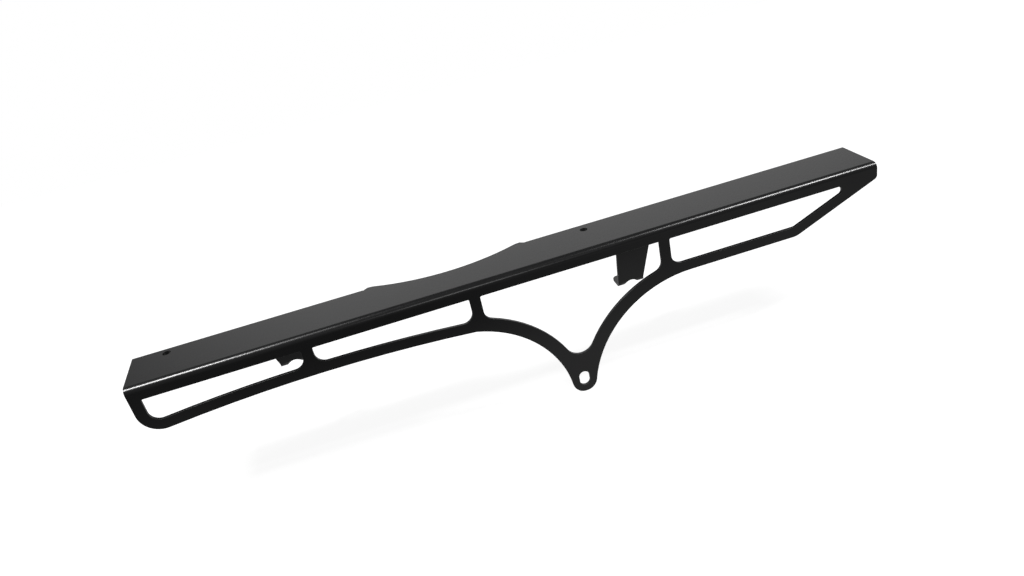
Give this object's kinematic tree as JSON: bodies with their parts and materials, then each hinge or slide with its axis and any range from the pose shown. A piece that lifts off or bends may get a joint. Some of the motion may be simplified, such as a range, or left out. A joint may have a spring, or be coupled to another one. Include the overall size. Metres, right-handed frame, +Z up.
{
  "type": "motorcycle chain guard",
  "caption": "Folded steel chain guard: a long top web over a cut-out side plate that drops to a slotted lug, with bent bracket tabs behind.",
  "frame": {"origin": "centre of the lug's slot, on the outer face of the side plate", "axes": "+X along the chain towards the rear end, +Y inboard from the side plate towards the tyre, +Z up"},
  "size_m": [0.4803, 0.0511, 0.1001],
  "materials": {
    "black_powder_coat": "satin black powder coat on steel sheet, fine orange peel"
  },
  "bodies": {
    "root": {"chain_guard": "black_powder_coat"}
  },
  "joints": []
}
